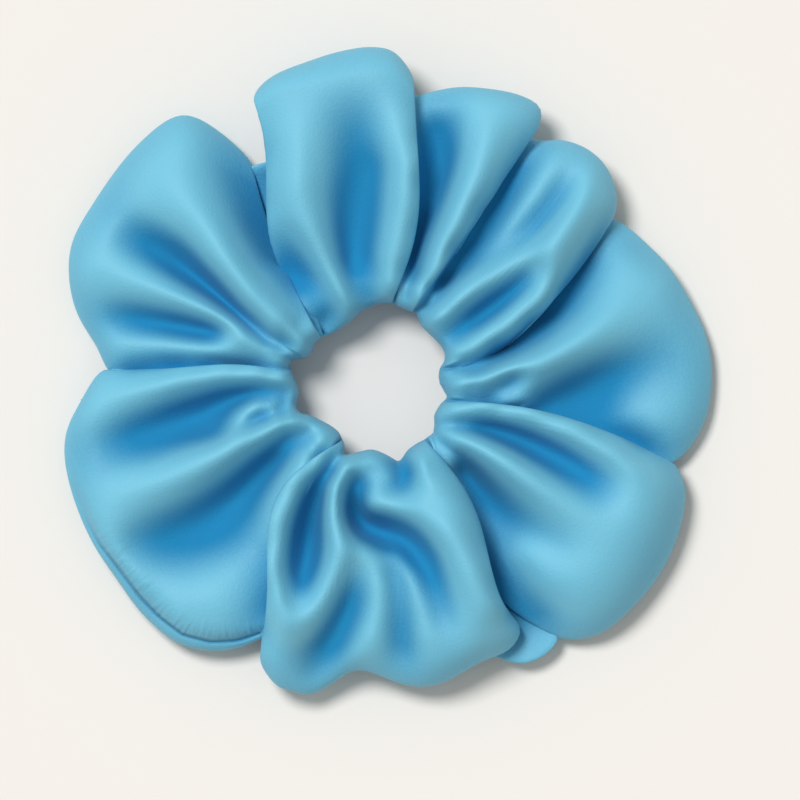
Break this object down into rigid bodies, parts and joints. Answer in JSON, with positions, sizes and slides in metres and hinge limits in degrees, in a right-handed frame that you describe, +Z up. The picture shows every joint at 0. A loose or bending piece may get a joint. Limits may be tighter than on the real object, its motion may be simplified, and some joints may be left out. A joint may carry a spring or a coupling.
{
  "type": "scrunchie",
  "caption": "Hair scrunchie: wide satin tube gathered on a loop of flat elastic, with a ruffled rim and a round hair opening that stretches.",
  "frame": {"origin": "centre of the hair opening, halfway up the elastic that runs round it", "axes": "+Z up out of the opening when the scrunchie lies flat; +X to the right and +Y away from the viewer, seen from above; the stretch joint pulls the right half along +X"},
  "size_m": [0.1199, 0.1197, 0.023],
  "materials": {
    "satin": "smooth satin, soft broad gloss",
    "thread": "polyester sewing thread",
    "elastic": "white braided elastic, matt"
  },
  "bodies": {
    "left_half": {"cover_left": "satin", "seam_allowance_left": "satin", "needle_thread_left": "thread", "bobbin_thread_left": "thread", "closing_seam_thread": "thread", "elastic_band": "elastic", "elastic_tack_thread": "thread"},
    "right_half": {"cover_right": "satin", "seam_allowance_right": "satin", "needle_thread_right": "thread", "bobbin_thread_right": "thread"}
  },
  "joints": [
    {"name": "stretch", "type": "slide", "parent": "left_half", "child": "right_half", "axis": [1, 0, 0], "range_m": [0, 0.065], "stiffness_N_per_m": 200, "deforming": ["elastic_band"]}
  ]
}
